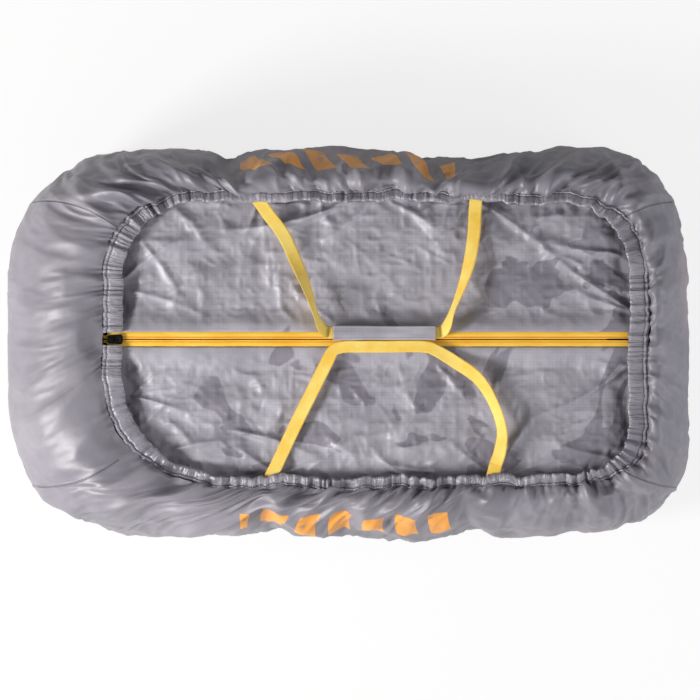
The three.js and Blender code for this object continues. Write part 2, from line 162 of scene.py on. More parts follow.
def step_up(x, low, high):
    t = np.clip((x - low) / (high - low), 0, 1)
    return t * t * (3 - 2 * t)


# ---- Meshes ----
def grid_mesh(name, points, uv, wrap=False):
    """A mesh over a grid of points (rows, columns, 3). wrap joins the last column to the first."""
    rows, columns = points.shape[:2]
    index = np.arange(rows * columns).reshape(rows, columns)
    if wrap:
        index = np.concatenate([index, index[:, :1]], 1)
        uv = np.concatenate([uv, uv[:, :1] + np.array([uv[0, -1, 0] * columns / (columns - 1), 0])], 1)
    a, b, c, d = index[:-1, :-1], index[:-1, 1:], index[1:, 1:], index[1:, :-1]
    faces = np.stack([a, b, c, d], -1).reshape(-1, 4)
    mesh = bpy.data.meshes.new(name)
    mesh.from_pydata(points.reshape(-1, 3).tolist(), [], faces.tolist())
    layer = mesh.uv_layers.new(name="cloth")
    corners = np.stack([uv[:-1, :-1], uv[:-1, 1:], uv[1:, 1:], uv[1:, :-1]], 2)
    layer.data.foreach_set("uv", corners.reshape(-1).astype(np.float32))
    mesh.polygons.foreach_set("use_smooth", [True] * len(mesh.polygons))
    mesh.update()
    return add_object(name, mesh)


def finish_piece(piece, material, slot, *nodes):
    """Gives a piece its material, in place of the CAD nodes that it stands for. The slot is not used."""
    piece.data.materials.clear()
    piece.data.materials.append(material)
    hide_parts(*nodes)
    return piece


def thicken(piece, thick):
    skin = piece.modifiers.new("cloth", "SOLIDIFY")
    skin.thickness = thick
    skin.offset = -1
    graph = bpy.context.evaluated_depsgraph_get()
    made = bpy.data.meshes.new_from_object(piece.evaluated_get(graph), depsgraph=graph)
    made.name = piece.name
    piece.modifiers.clear()
    piece.data = made
    return piece


# ---- Materials ----
def srgb(r, g, b):
    to_linear = lambda c: (c / 255 / 12.92) if c <= 10 else (((c / 255) + 0.055) / 1.055) ** 2.4
    return (to_linear(r), to_linear(g), to_linear(b), 1)


class Nodes:
    """A short way to write the nodes of a material, or of the world."""

    def __init__(self, name, world=None):
        self.owner = world or bpy.data.materials.new(name)
        self.owner.use_nodes = True
        self.tree = self.owner.node_tree
        self.shader = self.tree.nodes["Background" if world else "Principled BSDF"]

    def add(self, kind, **inputs):
        node = self.tree.nodes.new(kind)
        for key, value in inputs.items():
            if hasattr(node, key):
                setattr(node, key, value)
            else:
                self.set(node, key, value)
        return node

    def set(self, node, key, value):
        socket = node.inputs[int(key[1:])] if key[0] == "i" and key[1:].isdigit() else node.inputs[key]
        if hasattr(value, "links"):
            self.tree.links.new(value, socket)
        else:
            socket.default_value = value

    def math(self, operation, a, b=None, c=None):
        node = self.add("ShaderNodeMath", operation=operation)
        for i, value in enumerate((a, b, c)):
            if value is not None:
                self.set(node, f"i{i}", value)
        return node.outputs[0]

    def times(self, a, b):
        return self.math("MULTIPLY", a, b)

    def place(self, uv=True):
        return self.add("ShaderNodeTexCoord").outputs["UV" if uv else "Object"]

    def axes(self, vector):
        return tuple(self.add("ShaderNodeSeparateXYZ", i0=vector).outputs)

    def off(self, value, middle):
        """How far a value is from a middle one, on either side."""
        return self.math("ABSOLUTE", self.math("SUBTRACT", value, middle))

    def ramp(self, value, low, high, to_low=0.0, to_high=1.0):
        limits = {"i1": low, "i2": high, "i3": to_low, "i4": to_high}
        node = self.add("ShaderNodeMapRange", interpolation_type="SMOOTHSTEP", Value=value, **limits)
        return node.outputs[0]

    def lines(self, coordinate, pitch, width):
        """1 on lines a pitch apart, falling to 0 within the width."""
        turn = self.math("FRACT", self.times(coordinate, 1 / pitch))
        return self.ramp(self.off(turn, 0.5), 0.5 - width / pitch, 0.5)

    def noise(self, vector, scale, detail=3.0, rough=0.55, distortion=0.0):
        look = {"Detail": detail, "Roughness": rough, "Distortion": distortion}
        return self.add("ShaderNodeTexNoise", Vector=vector, Scale=scale, **look).outputs["Fac"]

    def cells(self, vector, scale):
        node = self.add("ShaderNodeTexVoronoi", feature="SMOOTH_F1", Vector=vector, Scale=scale)
        return node.outputs["Distance"]

    def mix(self, share, a, b):
        return self.add("ShaderNodeMix", data_type="RGBA", i0=share, i6=a, i7=b).outputs[2]

    def tint(self, color, mask, strength, tone):
        """Moves a colour towards a tone where the mask is 1."""
        return self.mix(self.times(mask, strength), color, tone)

    def clouds(self, noise, dark, light):
        return self.mix(self.ramp(noise, 0.3, 0.7), dark, light)

    def bump(self, height, strength, distance, under=None):
        node = self.add("ShaderNodeBump", Height=height, Strength=strength, Distance=distance)
        if under is not None:
            self.set(node, "Normal", under)
        return node.outputs["Normal"]

    def finish(self, color, rough, normal, sheen, specular):
        look = {"Base Color": color, "Roughness": rough, "Normal": normal, "Sheen Weight": sheen}
        look.update({"Sheen Roughness": 0.4, "Specular IOR Level": specular})
        for key, value in look.items():
            self.set(self.shader, key, value)
        return self.owner


def scaled(n, vector, factors):
    return n.add("ShaderNodeVectorMath", operation="MULTIPLY", i0=vector, i1=factors).outputs[0]


def print_mask(n, uv, here):
    """A printed row of plain slanted bars along the middle of each long side."""
    along, up, _ = n.axes(uv)
    x, y, _ = n.axes(here)
    slant = n.math("ADD", along, n.times(up, 0.25))
    inside = n.math("LESS_THAN", n.off(up, 0.225), 0.027)
    bar = n.math("LESS_THAN", n.math("FRACT", n.times(slant, 1 / 0.046)), 0.62)
    middle = n.math("LESS_THAN", n.math("ABSOLUTE", x), 0.142)
    long_sides = n.math("GREATER_THAN", n.math("ABSOLUTE", y), 0.19)
    mask = n.times(inside, bar)
    return n.times(mask, n.times(middle, long_sides))


def corner_seams(n, here):
    """Seams that run from the hem's corners out to where the ends turn into the long sides."""
    x, y, _ = n.axes(here)
    t = n.times(n.math("SUBTRACT", n.off(x, 0.021), 0.324), 9.1)
    bend = n.times(t, n.math("SUBTRACT", 0.080, n.times(t, 0.045)))
    off = n.math("SUBTRACT", n.math("SUBTRACT", n.math("ABSOLUTE", y), 0.154), bend)
    line = n.ramp(n.math("ABSOLUTE", off), 0.0016, 0.0004)
    return n.times(line, n.math("GREATER_THAN", t, -0.02))


def taffeta(name, printed=False):
    """Shiny coated cloth: fine weave, soft crumple, slight patches where the filling shows."""
    n = Nodes(name)
    uv, here = n.place(), n.place(False)
    along, up, _ = n.axes(uv)
    cloudy = n.noise(here, 7.0, 4.0, 0.6)
    fine = n.noise(here, 60.0, 3.0)
    color = n.clouds(cloudy, srgb(116, 113, 122), srgb(140, 136, 145))
    warm = n.ramp(n.noise(here, 4.2, 2.0), 0.60, 0.74, 0, 0.35)
    color = n.mix(warm, color, srgb(176, 152, 156))
    thread = n.math("MAXIMUM", n.lines(along, 0.0011, 0.0005), n.lines(up, 0.0011, 0.0005))
    color = n.tint(color, thread, 0.10, srgb(86, 82, 92))
    if printed:
        mask = print_mask(n, uv, here)
        worn = n.ramp(n.noise(here, 40.0, 2.0), 0.26, 0.40, 0.25, 0.9)
        color = n.tint(color, mask, worn, srgb(238, 158, 40))
    seam = corner_seams(n, here)
    color = n.tint(color, seam, 0.4, srgb(66, 62, 72))
    crumple = n.cells(here, 26.0)
    drawn_up = n.noise(scaled(n, uv, (1, 0.30, 1)), 21.0, 1.6, 0.5, 0.4)
    normal = n.bump(crumple, 0.25, 0.006)
    normal = n.bump(drawn_up, n.ramp(up, 0.05, 0.28, 0.1, 0.62), 0.012, normal)
    normal = n.bump(seam, 1.0, -0.0012, normal)
    normal = n.bump(fine, 0.35, 0.0012, normal)
    normal = n.bump(thread, 0.25, 0.00015, normal)
    return n.finish(color, n.ramp(cloudy, 0.3, 0.7, 0.41, 0.50), normal, 0.05, 0.62)


def ripstop(name, painted_shade=0.62):
    """Thin cloth with a grid of thicker threads, crumpled, with dark patches of painted shade that spread
    towards +x.
    """
    n = Nodes(name)
    uv, here = n.place(), n.place(False)
    along, up, _ = n.axes(uv)
    grid = n.math("MAXIMUM", n.lines(along, 0.005, 0.0009), n.lines(up, 0.004, 0.0009))
    weave = n.math("MAXIMUM", n.lines(along, 0.0009, 0.0004), n.lines(up, 0.0009, 0.0004))
    cloudy = n.noise(here, 9.0, 4.0, 0.6)
    x = n.axes(here)[0]
    # Painted shade: dark patches from noise, more of them towards +x, the side away from the key light.
    shade_noise = n.math("ADD", n.noise(here, 10.0, 3.0, 0.5, 0.7), n.times(x, 0.20))
    dark = n.ramp(shade_noise, 0.575, 0.595)
    color = n.clouds(cloudy, srgb(148, 145, 154), srgb(178, 175, 184))
    color = n.tint(color, dark, painted_shade, srgb(106, 101, 112))
    seen = n.ramp(n.noise(here, 16.0, 2.0), 0.35, 0.65, 0.03, 0.16)
    color = n.tint(color, grid, seen, srgb(104, 100, 110))
    color = n.tint(color, weave, 0.04, srgb(80, 78, 86))
    crumple = n.cells(here, 30.0)
    normal = n.bump(crumple, 0.30, 0.006)
    normal = n.bump(n.noise(here, 75.0, 4.0), 0.35, 0.0016, normal)
    normal = n.bump(grid, 0.15, 0.0003, normal)
    return n.finish(color, n.ramp(dark, 0, 1, 0.46, 0.36), normal, 0.05, 0.55)


def hem_material(name):
    """The gathered casing: taffeta with two rows of dark stitching."""
    n = Nodes(name)
    uv, here = n.place(), n.place(False)
    along, out, _ = n.axes(uv)
    cloudy = n.noise(here, 11.0, 4.0, 0.6)
    color = n.clouds(cloudy, srgb(120, 117, 127), srgb(148, 144, 153))
    stitch = n.math("LESS_THAN", n.math("FRACT", n.times(along, 1 / 0.0042)), 0.72)
    seam = None
    for row in STITCH_ROWS:
        off = n.off(out, row)
        line = n.ramp(off, 0.0012, 0.0002)
        seam = line if seam is None else n.math("MAXIMUM", seam, line)
    color = n.tint(color, seam, 0.25, srgb(70, 66, 78))
    color = n.tint(color, n.times(seam, stitch), 0.35, srgb(50, 46, 58))
    across = scaled(n, uv, (1, 0.22, 1))
    normal = n.bump(n.noise(across, 150.0, 3.0), 0.9, 0.0045)
    normal = n.bump(n.noise(here, 210.0, 3.0), 0.4, 0.0010, normal)
    normal = n.bump(seam, 0.8, -0.0010, normal)
    return n.finish(color, n.ramp(cloudy, 0.3, 0.7, 0.30, 0.40), normal, 0.03, 0.75)


def tape_material(name):
    """Zip tape: fine ribs along the zip, with painted shade in the groove where the coil is sewn and along
    the middle where the halves meet.
    """
    n = Nodes(name)
    uv, here = n.place(), n.place(False)
    out, along, _ = n.axes(uv)
    groove = n.ramp(n.off(out, 0.0031), 0.0012, 0.0003)
    middle = n.ramp(out, 0.0011, 0.0005)
    stitch = n.lines(along, 0.0014, 0.0006)
    rib = n.lines(out, 0.0012, 0.0005)
    color = n.clouds(n.noise(here, 18.0, 3.0), srgb(255, 208, 84), srgb(248, 190, 60))
    # Painted shade: darker in the groove beside the coil, and darkest along the middle where the two
    # halves meet.
    color = n.tint(color, groove, 0.55, srgb(205, 120, 8))
    color = n.mix(middle, color, srgb(190, 108, 10))
    color = n.tint(color, stitch, 0.12, srgb(190, 112, 8))
    normal = n.bump(n.math("ADD", n.times(stitch, 0.6), rib), 0.4, 0.00025)
    return n.finish(color, 0.5, normal, 0.15, 0.4)


def webbing_material(name):
    """Woven webbing: a herringbone of raised threads, with darker selvedges."""
    n = Nodes(name)
    uv, here = n.place(), n.place(False)
    across, along, _ = n.axes(uv)
    zig = n.math("PINGPONG", across, 0.0022)
    rib = n.lines(n.math("ADD", along, n.times(zig, 0.8)), 0.0016, 0.0008)
    edge = n.ramp(n.math("ABSOLUTE", across), 0.0066, 0.0082)
    color = n.clouds(n.noise(here, 26.0, 4.0), srgb(255, 230, 124), srgb(252, 206, 80))
    color = n.tint(color, edge, 0.35, srgb(214, 140, 20))
    color = n.tint(color, rib, 0.16, srgb(190, 120, 10))
    normal = n.bump(rib, 0.5, 0.0004)
    normal = n.bump(n.noise(here, 320.0, 2.0), 0.2, 0.0003, normal)
    return n.finish(color, 0.55, normal, 0.3, 0.35)


def coil_material(name):
    n = Nodes(name)
    here = n.place(False)
    x, _, _ = n.axes(here)
    rib = n.lines(x, 0.0013, 0.0006)
    color = n.mix(rib, srgb(236, 170, 40), srgb(168, 98, 10))
    color = n.mix(n.ramp(n.noise(here, 40.0), 0.3, 0.7, 0, 0.25), color, srgb(250, 200, 80))
    return n.finish(color, 0.4, n.bump(rib, 0.8, 0.0006), 0.0, 0.5)


def black_metal(name):
    n = Nodes(name)
    here = n.place(False)
    scuff = n.ramp(n.noise(here, 420.0, 5.0, 0.7), 0.60, 0.72)
    color = n.mix(scuff, srgb(18, 18, 22), srgb(60, 58, 60))
    normal = n.bump(n.noise(here, 700.0, 3.0), 0.15, 0.0002)
    n.shader.inputs["Metallic"].default_value = 0.35
    return n.finish(color, n.ramp(scuff, 0, 1, 0.28, 0.5), normal, 0.0, 0.5)


def plain_cloth(name, dark, light, pitch, rough):
    """Elastic, hook tape and loop tape: a ribbed weave between two tones."""
    n = Nodes(name)
    here = n.place(False)
    x, y, _ = n.axes(here)
    rib = n.math("MAXIMUM", n.lines(x, pitch, pitch * 0.4), n.lines(y, pitch * 1.3, pitch * 0.5))
    color = n.clouds(n.noise(here, 60.0, 4.0), dark, light)
    color = n.tint(color, rib, 0.3, dark)
    return n.finish(color, rough, n.bump(rib, 0.5, 0.0004), 0.2, 0.3)


# ---- Folds ----
def lattice_noise(u, v, seed, wrap=0):
    """Smooth noise in -1 to 1 over two coordinates. wrap makes it repeat after so many cells of u."""
    size = wrap or 256
    table = np.random.default_rng(seed).uniform(-1, 1, (size, 256))
    i, j = np.floor(u).astype(int), np.floor(v).astype(int)
    f, g = u - i, v - j
    f, g = f * f * (3 - 2 * f), g * g * (3 - 2 * g)
    i0, i1 = i % size, (i + 1) % size
    j0, j1 = j % 256, (j + 1) % 256
    low = table[i0, j0] * (1 - f) + table[i1, j0] * f
    high = table[i0, j1] * (1 - f) + table[i1, j1] * f
    return low * (1 - g) + high * g


def cloth_noise(x, y, seed):
    """Noise on open pieces, moved well inside the lattice."""
    return lattice_noise(x + 50, y + 50, seed)


def round_noise(run, across, total, cell, cell_across, seed, octaves=3):
    """Layers of lattice noise that close on themselves round the sack."""
    out, size = 0, 1.0
    for o in range(octaves):
        cells = max(3, round(total / cell * 2**o))
        out = out + size * lattice_noise(run / total * cells, across / cell_across * 2**o, seed + o, cells)
        size *= 0.5
    return out / 1.75


def pleats(run, away, total, seed, count, reach, size, width, drift):
    """Folds that start at the hem and die out down the wall. away is the distance from the hem."""
    r = np.random.default_rng(seed)
    height = np.zeros_like(run)
    for i in range(count):
        at = (i + r.uniform(-0.45, 0.45)) / count * total
        length = reach * r.lognormal(0, 0.45)
        tall = size * r.uniform(0.35, 1.3)
        wide = width * r.uniform(0.7, 1.5)
        lean, curl = r.normal(0, drift), r.normal(0, 1.2)
        off = run - at - lean * away - curl * away**2
        off = (off + total / 2) % total - total / 2
        spread = wide + 0.10 * away
        fade = np.clip(1 - away / length, 0, 1) ** 1.3 * step_up(away, -0.02, 0.012)
        ridge = np.exp(-np.abs(off / spread) ** 1.5) - 0.55 * np.exp(-((off / (2.1 * spread)) ** 2))
        height += tall * fade * ridge
    return height


def creases(x, y, lines, width):
    """Ridges along straight lines: (x, y, x, y, height), which fade towards the far end."""
    height = np.zeros_like(x)
    for ax, ay, bx, by, tall in lines:
        dx, dy = bx - ax, by - ay
        long = math.hypot(dx, dy)
        t = ((x - ax) * dx + (y - ay) * dy) / long**2
        off = ((x - ax) * dy - (y - ay) * dx) / long
        off = off + 0.05 * long * np.sin(math.pi * np.clip(t, 0, 1))
        wide = width * (0.5 + 1.1 * np.clip(t, 0, 1))
        fade = step_up(t, -0.12, 0.06) * (1 - step_up(t, 0.35, 1.05))
        ridge = np.exp(-np.abs(off / wide) ** 1.3) - 0.45 * np.exp(-((off / wide / 2.4) ** 2))
        height += tall * fade * ridge
    return height


# ---- Shell and hem ----
PROFILE = (
    # height, how far in from the overall size, share of the way to the mouth's plan
    (0.0006, 0.054, 0.00),
    (0.014, 0.029, 0.00),
    (0.050, 0.008, 0.00),
    (0.100, 0.000, 0.00),
    (0.150, 0.002, 0.00),
    (0.188, 0.008, 0.07),
    (0.214, 0.014, 0.22),
    (0.230, 0.017, 0.44),
    (0.2375, 0.014, 0.70),
    (0.237, 0.006, 0.90),
    (0.2325, 0.000, 1.00),
)
SHELL_STEP = 0.00258333  # between the points of the shell's cloth
PLEATS = (
    # seed, number, reach from the hem, height, half width, how much they lean
    (11, 130, 0.045, 0.0058, 0.0045, 0.35),
    (12, 50, 0.130, 0.0135, 0.0100, 0.50),
    (13, 22, 0.280, 0.0230, 0.0185, 0.60),
)
SWELL, STREAK, CRUMPLE = 0.0030, 0.0034, 0.0038  # heights of the smaller unevenness
TALLEST_FOLD = 0.0155
# Where the straps or the gathers pull a long side in: place along it, depth and half width.
BACK_DENTS = ((-0.156, 0.017, 0.018), (0.106, 0.015, 0.024), (0.172, 0.011, 0.036))
FRONT_DENTS = (
    (-0.345, 0.012, 0.036),
    (-0.245, 0.009, 0.045),
    (-0.103, 0.015, 0.028),
    (0.003, 0.006, 0.020),
    (0.164, 0.016, 0.022),
    (0.300, 0.008, 0.026),
    (0.372, 0.011, 0.026),
)
SLIM = 0.0055  # how far in the long sides stay besides
# Corners that are less full than the rest: place, depth and reach.
CORNER_DENTS = (
    (-0.445, -0.160, 0.012, 0.050),
    (-0.390, -0.225, 0.014, 0.060),
    (0.440, 0.170, 0.012, 0.055),
    (0.400, -0.235, 0.008, 0.055),
)
CASING = (
    # distance out from the mouth's edge, height
    (0.0264, 0.2325),
    (0.0235, 0.2336),
    (0.0205, 0.2328),
    (0.0175, 0.2338),
    (0.0120, 0.2343),
    (0.0060, 0.2342),
    (0.0018, 0.2332),
    (0.0000, 0.2314),
    (0.0016, 0.2298),
    (0.0060, 0.2291),
    (0.0200, 0.2290),
)
ELASTIC_Z = (0.2309, 0.2318)
STITCH_ROWS = (0.0255, 0.0205)  # distance out from the mouth's edge
CASING_WIDE = CASING[0][0]
FOLD_ROW = 7  # the row of CASING at which the cloth folds under
FINE_WAVE, WIDE_WAVE = 0.0050, 0.0066  # heights of the hem's gathers
EDGE_WAVE, EDGE_DRIFT = 0.0024, 0.0040  # how far its edge wanders with them
HEM_STANDS = (0.0006, 0.0050)  # the most that gathers stand up where it is held, and more elsewhere
ROLL = 0.0035  # how far the hem's inner edge rolls up along the long sides
PULL_AT, PULL_LOW = -0.318, 0.2318  # where the pull tab lies, and how low the cloth stays there
NOTCH = (0.0073, 0.0078)  # half width of the gap for the zip, at the stitching and at the slider
NOTCH_X = (-0.3185, -0.3165)  # where it widens from the one to the other
TURNED_ASIDE = 0.035  # how far from the zip the hem's cloth makes way for it
LEFT_END = -0.2  # anything beside the zip and left of this is the left end of the hem


def hull(inset, share):
    whole = (
        (-LENGTH / 2 + inset, LENGTH / 2 - inset),
        (-WIDTH / 2 + inset, WIDTH / 2 - inset),
        tuple(r - 0.6 * inset for r in BULGE_CORNERS),
    )
    return mixed(whole, grown(MOUTH, HEM_WIDTH + 0.0004), share)


def length_along(path, marks):
    run, last = [0.0], None
    for z, inset, share in path:
        at = ring(hull(inset, share), marks)[0]
        here = np.column_stack([at, np.full(len(at), z)])
        if last is not None:
            run.append(run[-1] + np.linalg.norm(here - last, axis=1).mean())
        last = here
    return np.array(run)


def shell_grid(step):
    """The shell's grid of points, and the distance of each row from the floor along the cloth."""
    marks = stations(hull(0, 0), step)
    path = smooth_through(PROFILE, np.linspace(0, len(PROFILE) - 1, 300))
    run = length_along(path, marks)
    rows = np.linspace(0, run[-1], round(run[-1] / step))
    path = np.stack([np.interp(rows, run, path[:, i]) for i in range(3)], 1)
    cloth = []
    for z, inset, share in path:
        at, _ = ring(hull(inset, share), marks)
        cloth.append(np.column_stack([at, np.full(len(at), z)]))
    return np.array(cloth), path[:, 2], rows, marks


def grid_normals(points):
    along = np.roll(points, -1, 1) - np.roll(points, 1, 1)
    up = np.gradient(points, axis=0)
    out = np.cross(along, up)
    return out / np.maximum(np.linalg.norm(out, axis=-1, keepdims=True), 1e-12)


def side_share(out):
    """1 on the long sides of the mouth, 0 on its two ends."""
    return step_up(np.abs(out[..., 1]), 0.55, 0.95)


def left_share(out):
    return step_up(-out[..., 0], 0.5, 0.95)


def hem_waves(at, out, run, total):
    """The gathers at the hem: how far the cloth stands up, and how far its edge wanders."""
    strong = 0.70 + 0.60 * side_share(out) + 0.9 * step_up(np.abs(out[:, 0] * out[:, 1]), 0.20, 0.5)
    strong = strong * (0.75 + 0.5 * round_noise(run, 0 * run, total, 0.09, 1, 41, 2))
    turn = run + 0.003 * round_noise(run, 0 * run, total, 0.03, 1, 42, 2)
    fine = 1 - 2 * np.abs(round_noise(turn, 0 * run, total, 0.0085, 1, 43, 1))
    wide = 1 - 2 * np.abs(round_noise(turn, 0 * run, total, 0.022, 1, 44, 2))
    lift = strong * (FINE_WAVE * (fine - 0.62) + WIDE_WAVE * (wide - 0.60))
    edge = strong * (EDGE_WAVE * round_noise(turn, 0 * run, total, 0.010, 1, 45, 2))
    drift = EDGE_DRIFT * round_noise(run, 0 * run, total, 0.045, 1, 46, 2)
    edge = edge + (0.5 + side_share(out)) * drift
    return soft_limit(lift, HEM_STANDS[0] + HEM_STANDS[1] * calm_places(at)), edge


def rolled_edge(u, at, out):
    """How far the hem rises towards its inner edge, at a distance u out from it."""
    return ROLL * side_share(out) * (1 - step_up(u, 0.0, 0.02)) * calm_places(at)


def soft_limit(height, most):
    return most * np.tanh(height / most)


def calm_places(at):
    """0 where a strap or the zip holds the hem down, 1 elsewhere."""
    calm = np.ones(at.shape[:-1])
    feet = [(x, MOUTH[1][1], 0.042) for x in BACK_FEET] + [(x, MOUTH[1][0], 0.054) for x in FRONT_FEET]
    for x, y, reach in feet + [(MOUTH[0][0], ZIP_Y, 0.022)]:
        far = np.hypot(at[..., 0] - x, at[..., 1] - y)
        calm = calm * step_up(far, 0.3 * reach, 1.4 * reach)
    return calm


def casing_share(out):
    """How wide the casing looks: it lies flat at the ends and rolls up along the sides."""
    return 1 - 0.40 * side_share(out)


def dents(points):
    """Pulls the silhouette of the long sides in at the dents, least near the floor."""
    x, y, z = points[..., 0], points[..., 1], points[..., 2]
    reach = step_up(z, 0.02, 0.09) * (1 - step_up(0.26 - np.abs(y), 0.035, 0.08))
    for side, places in ((1, BACK_DENTS), (-1, FRONT_DENTS)):
        for at, depth, half in places:
            lean = at + 0.10 * (z - 0.14) * side
            pull = depth * np.exp(-np.abs((x - lean) / half) ** 1.5) * reach * (y * side > 0)
            y = y - side * pull
    y = y - np.sign(y) * SLIM * reach
    for cx, cy, depth, far in CORNER_DENTS:
        pull = 0.7 * depth * np.exp(-((np.hypot(x - cx, y - cy) / far) ** 2)) * step_up(z, 0.01, 0.07)
        x, y = x - math.copysign(1, cx) * pull, y - math.copysign(1, cy) * pull
    return np.stack([x, y, z], -1)


def wall_folds(run, up, away, total, out):
    """How far the cloth stands out from the plain shape: folds from the hem, streaks and crumples."""
    sides = side_share(out)[None, :]
    corners = step_up(np.abs(out[:, 0] * out[:, 1]), 0.15, 0.45)[None, :]
    strong = 0.50 + 0.60 * sides + 0.55 * corners
    short, middle, long = (pleats(run, away, total, *row) for row in PLEATS)
    height = strong * short + strong * middle + (0.20 + 0.80 * np.maximum(sides, corners)) * long
    height += SWELL * round_noise(run, away, total, 0.10, 0.10, 14)
    streaks = 1 - 2 * np.abs(round_noise(run + 0.25 * away, away, total, 0.020, 0.09, 15, 2))
    height += STREAK * strong * streaks * step_up(away, 0.0, 0.03)
    crumple = 1 - 2 * np.abs(round_noise(run + 0.01 * streaks, away, total, 0.050, 0.060, 16, 3))
    height += CRUMPLE * crumple
    height = height * step_up(up, 0.0, 0.05) * step_up(away, -0.002, 0.007)
    return soft_limit(height * (1 - 0.60 * left_share(out)[None, :]), TALLEST_FOLD)


def fold_shell(points, share, rows, marks):
    run = np.broadcast_to(marks[3][None, :-1], points.shape[:2])
    total = marks[3][-1]
    up = np.broadcast_to(rows[:, None], run.shape)
    away = rows[-1] - up
    mouth_at, out = ring(MOUTH, marks)
    height = wall_folds(run, up, away, total, out)
    hem_lift, hem_edge = hem_waves(mouth_at, out, marks[3][:-1], total)
    near_hem = 1 - step_up(away, 0.0, 0.022)
    # The lifted loops lie over the shell beside their feet, so folds stay lower there.
    low_by_feet = 0.0018 + 0.0152 * calm_places(mouth_at)[None, :] + 0.10 * np.clip(away - 0.05, 0, None)
    height = np.minimum(height, low_by_feet)
    height = height + hem_lift[None, :] * near_hem
    points = points + grid_normals(points) * height[..., None]
    pull = (1 - casing_share(out))[None, :] * CASING_WIDE * step_up(share, 0.62, 1.0)[:, None]
    pull = pull - hem_edge[None, :] * near_hem
    points[..., :2] -= out[None] * pull[..., None]
    # The pull tab can turn over onto this stretch, so it stays low.
    far = np.hypot(points[..., 0] - PULL_AT, points[..., 1] - ZIP_Y)
    low = PULL_LOW + 0.38 * np.clip(far - 0.016, 0, None)
    points[..., 2] = np.where(points[..., 0] < -0.28, np.minimum(points[..., 2], low), points[..., 2])
    return dents(points)


def make_shell(material):
    points, share, rows, marks = shell_grid(SHELL_STEP)
    points = fold_shell(points, share, rows, marks)
    run = marks[3][:-1]
    uv = np.stack(np.broadcast_arrays(run[None, :], rows[:, None]), -1)
    piece = grid_mesh("shell_skin", points, uv, wrap=True)
    walls = ("front_wall", "right_end_wall", "back_wall", "left_end_wall")
    finish_piece(piece, material, "shell_cloth", *walls)
    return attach(piece, "shell"), marks


def make_way_for_zip(points):
    """Turns the cloth of the hem aside where the zip crosses it."""
    off = points[..., 1] - ZIP_Y
    beside = (points[..., 0] < LEFT_END) & (np.abs(off) < TURNED_ASIDE)
    inward = step_up(points[..., 0], *NOTCH_X)
    half = NOTCH[0] + (NOTCH[1] - NOTCH[0]) * inward
    away = np.clip(np.abs(off) - 0.002, 0, None) / (TURNED_ASIDE - 0.002)
    moved = ZIP_Y + np.sign(off) * (half + away * (TURNED_ASIDE - half))
    points[..., 1] = np.where(beside, moved, points[..., 1])


def make_casing(material, marks):
    """The hem: a ruffled tube of cloth with a gap on the left where the zip comes through."""
    at, out = ring(MOUTH, marks)
    run, total = marks[3][:-1], marks[3][-1]
    lift, edge = hem_waves(at, out, run, total)
    t = np.linspace(0, len(CASING) - 1, 4 * (len(CASING) - 1) + 1)
    section = smooth_through(CASING, t)
    far = casing_share(out)
    rows = []
    for i, (u, z) in enumerate(section):
        top = t[i] < FOLD_ROW
        puff = 0.0006 * round_noise(run + 0.3 * u, u + 0 * run, total, 0.012, 0.008, 51, 2) if top else 0
        xy = at + out * (u * far + edge * (1 if u > 0.0262 else 1.2))[:, None]
        z = z - 0.0010 * (1 - calm_places(at)) + lift * (1 if top else 0.6)
        z = z + puff * step_up(CASING_WIDE - u, 0, 0.004) + rolled_edge(u, at, out)
        rows.append(np.column_stack([xy, z]))
    points = np.array(rows)
    make_way_for_zip(points)
    start = int(np.argmin(np.abs(at[:, 1] - ZIP_Y) + 10 * (at[:, 0] > LEFT_END)))
    order = np.roll(np.arange(len(run)), -start)
    order = order[1:-1] if at[start, 1] != ZIP_Y else order[1:]
    across = np.where(t < FOLD_ROW, section[:, 0], -section[:, 0])
    uv = np.stack(np.broadcast_arrays(run[None, :], across[:, None]), -1)[:, order]
    piece = grid_mesh("hem_skin", points[:, order], uv)
    finish_piece(piece, material, "hem_cloth", "hem_casing")
    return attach(piece, "shell")


def make_elastic(material, marks):
    """The band inside the casing, which rises and falls with it."""
    at, out = ring(MOUTH, marks)
    run, total = marks[3][:-1], marks[3][-1]
    lift, edge = hem_waves(at, out, run, total)
    far = casing_share(out)
    low, high = ELASTIC_Z
    rows = []
    for u, z, share in ((0.006, high, 1), (0.017, high, 1), (0.017, low, 0.6), (0.006, low, 0.6)):
        xy = at + out * (u * far + edge)[:, None]
        rows.append(np.column_stack([xy, z + lift * share + rolled_edge(u, at, out)]))
    points = np.array(rows + rows[:1])
    uv = np.stack(np.broadcast_arrays(run[None, :], np.arange(5)[:, None] * 0.01), -1)
    gap = (points[..., 0].mean(0) < LEFT_END) & (np.abs(points[..., 1].mean(0) - ZIP_Y) < 0.012)
    start = int(np.argmax(gap))
    order = np.roll(np.arange(len(run)), -start)
    order = order[~gap[order]]
    piece = grid_mesh("elastic_skin", points[:, order], uv[:, order])
    finish_piece(piece, material, "elastic", "hem_elastic")
    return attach(piece, "shell")


def make_base(material):
    outline = hull(PROFILE[0][1], 0)
    marks = stations(outline, 0.012)
    rim, _ = ring(outline, marks)
    rows = []
    for share in np.linspace(1, 0.02, 30):
        xy = rim * share
        z = 0.0012 + 0.0007 * lattice_noise(xy[:, 0] * 30 + 100, xy[:, 1] * 30 + 100, 61)
        rows.append(np.column_stack([xy, z]))
    points = np.array(rows)
    piece = grid_mesh("base_skin", points[:, ::-1], points[:, ::-1, :2], wrap=True)
    finish_piece(piece, material, "shell_cloth", "base_panel")
    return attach(piece, "shell")


